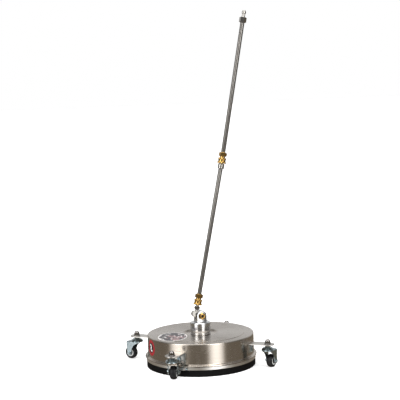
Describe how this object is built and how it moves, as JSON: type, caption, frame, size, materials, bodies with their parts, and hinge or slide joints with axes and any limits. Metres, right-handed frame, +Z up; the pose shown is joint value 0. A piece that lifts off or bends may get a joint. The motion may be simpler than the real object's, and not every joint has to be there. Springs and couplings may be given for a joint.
{
  "type": "surface cleaner",
  "caption": "Round walk-behind surface cleaner: spun deck on swivel casters, brush skirt, rotary swivel with a spray arm under the deck, and a tilting lance with quick couplers.",
  "frame": {"origin": "on the floor, on the axis of the round deck", "axes": "+Z up along the deck's axis; +X towards the operator, the way the lance leans; +Y to the operator's right hand as they face the machine"},
  "size_m": [0.4715, 0.4639, 1.3408],
  "materials": {
    "stainless": "circular brushed stainless sheet",
    "zinc": "bright zinc plating",
    "steel": "drawn steel tube, dull grey",
    "nickel": "bright nickel plating",
    "aluminium": "bright turned aluminium",
    "brass": "bright machined brass",
    "bristle": "black nylon bristle",
    "tyre": "black rubber tread",
    "seal": "black seal rubber",
    "wheel_plastic": "moulded grey nylon"
  },
  "bodies": {
    "deck": {"deck_shell": "stainless", "brush_skirt": "bristle", "skirt_band": "stainless", "swivel_housing": "aluminium", "hub_nut": "zinc", "bearing_lower": "steel", "bearing_upper": "steel", "shaft_seal": "seal", "yoke": "aluminium", "pivot_bolt": "brass", "pivot_nut": "brass", "caster_rear_right_bracket": "stainless", "caster_rear_right_bolt_upper": "zinc", "caster_rear_right_bolt_lower": "zinc", "caster_rear_right_stem": "zinc", "caster_rear_right_cap_nut": "nickel", "caster_front_right_bracket": "stainless", "caster_front_right_bolt_upper": "zinc", "caster_front_right_bolt_lower": "zinc", "caster_front_right_stem": "zinc", "caster_front_right_cap_nut": "nickel", "caster_front_left_bracket": "stainless", "caster_front_left_bolt_upper": "zinc", "caster_front_left_bolt_lower": "zinc", "caster_front_left_stem": "zinc", "caster_front_left_cap_nut": "nickel", "caster_rear_left_bracket": "stainless", "caster_rear_left_bolt_upper": "zinc", "caster_rear_left_bolt_lower": "zinc", "caster_rear_left_stem": "zinc", "caster_rear_left_cap_nut": "nickel"},
    "rotor": {"rotor_shaft": "steel", "spray_arm": "steel", "nozzle_a": "brass", "nozzle_b": "brass"},
    "stem": {"pivot_stem": "nickel"},
    "lower_lance": {"coupler_lower_socket": "brass", "lance_lower": "steel", "lance_collar": "steel"},
    "lower_sleeve": {"coupler_lower_sleeve": "brass"},
    "upper_lance": {"coupler_upper_socket": "brass", "lance_upper": "steel", "gun_plug": "nickel"},
    "upper_sleeve": {"coupler_upper_sleeve": "brass"},
    "caster_rear_right_swivel": {"caster_rear_right_fork": "zinc", "caster_rear_right_axle": "zinc"},
    "caster_rear_right_wheel": {"caster_rear_right_wheel_hub": "wheel_plastic", "caster_rear_right_tyre": "tyre"},
    "caster_front_right_swivel": {"caster_front_right_fork": "zinc", "caster_front_right_axle": "zinc"},
    "caster_front_right_wheel": {"caster_front_right_wheel_hub": "wheel_plastic", "caster_front_right_tyre": "tyre"},
    "caster_front_left_swivel": {"caster_front_left_fork": "zinc", "caster_front_left_axle": "zinc"},
    "caster_front_left_wheel": {"caster_front_left_wheel_hub": "wheel_plastic", "caster_front_left_tyre": "tyre"},
    "caster_rear_left_swivel": {"caster_rear_left_fork": "zinc", "caster_rear_left_axle": "zinc"},
    "caster_rear_left_wheel": {"caster_rear_left_wheel_hub": "wheel_plastic", "caster_rear_left_tyre": "tyre"}
  },
  "joints": [
    {"name": "spray_spin", "type": "hinge", "parent": "deck", "child": "rotor", "pos_m": [0, 0, 0.0824], "axis": [0, 0, 1], "continuous": true},
    {"name": "wand_tilt", "type": "hinge", "parent": "deck", "child": "stem", "pos_m": [0, 0, 0.1885], "axis": [0, 1, 0], "range_deg": [-27, 67.9]},
    {"name": "lower_lance_turn", "type": "hinge", "parent": "stem", "child": "lower_lance", "pos_m": [-0.01731, 0, 0.19221], "axis": [0.2096, 0, 0.9778], "continuous": true},
    {"name": "lower_sleeve_slide", "type": "slide", "parent": "lower_lance", "child": "lower_sleeve", "axis": [0.2096, 0, 0.9778], "range_m": [0, 0.005], "stiffness_N_per_m": 400, "springref_m": -0.004},
    {"name": "upper_lance_turn", "type": "hinge", "parent": "lower_lance", "child": "upper_lance", "pos_m": [0.10689, 0, 0.77155], "axis": [0.1874, 0, 0.9823], "continuous": true},
    {"name": "upper_sleeve_slide", "type": "slide", "parent": "upper_lance", "child": "upper_sleeve", "axis": [0.1874, 0, 0.9823], "range_m": [0, 0.005], "stiffness_N_per_m": 400, "springref_m": -0.004},
    {"name": "caster_rear_right_turn", "type": "hinge", "parent": "deck", "child": "caster_rear_right_swivel", "pos_m": [0.19198, 0.19198, 0.07], "axis": [0, 0, 1], "continuous": true},
    {"name": "caster_rear_right_roll", "type": "hinge", "parent": "caster_rear_right_swivel", "child": "caster_rear_right_wheel", "pos_m": [0.18963, 0.21888, 0.025], "axis": [-0.9962, -0.0872, 0], "continuous": true},
    {"name": "caster_front_right_turn", "type": "hinge", "parent": "deck", "child": "caster_front_right_swivel", "pos_m": [-0.19198, 0.19198, 0.07], "axis": [0, 0, 1], "continuous": true},
    {"name": "caster_front_right_roll", "type": "hinge", "parent": "caster_front_right_swivel", "child": "caster_front_right_wheel", "pos_m": [-0.2086, 0.21326, 0.025], "axis": [-0.788, -0.6157, 0], "continuous": true},
    {"name": "caster_front_left_turn", "type": "hinge", "parent": "deck", "child": "caster_front_left_swivel", "pos_m": [-0.19198, -0.19198, 0.07], "axis": [0, 0, 1], "continuous": true},
    {"name": "caster_front_left_roll", "type": "hinge", "parent": "caster_front_left_swivel", "child": "caster_front_left_wheel", "pos_m": [-0.17767, -0.16908, 0.025], "axis": [-0.848, 0.5299, 0], "continuous": true},
    {"name": "caster_rear_left_turn", "type": "hinge", "parent": "deck", "child": "caster_rear_left_swivel", "pos_m": [0.19198, -0.19198, 0.07], "axis": [0, 0, 1], "continuous": true},
    {"name": "caster_rear_left_roll", "type": "hinge", "parent": "caster_rear_left_swivel", "child": "caster_rear_left_wheel", "pos_m": [0.21382, -0.17611, 0.025], "axis": [-0.5878, 0.809, 0], "continuous": true}
  ]
}
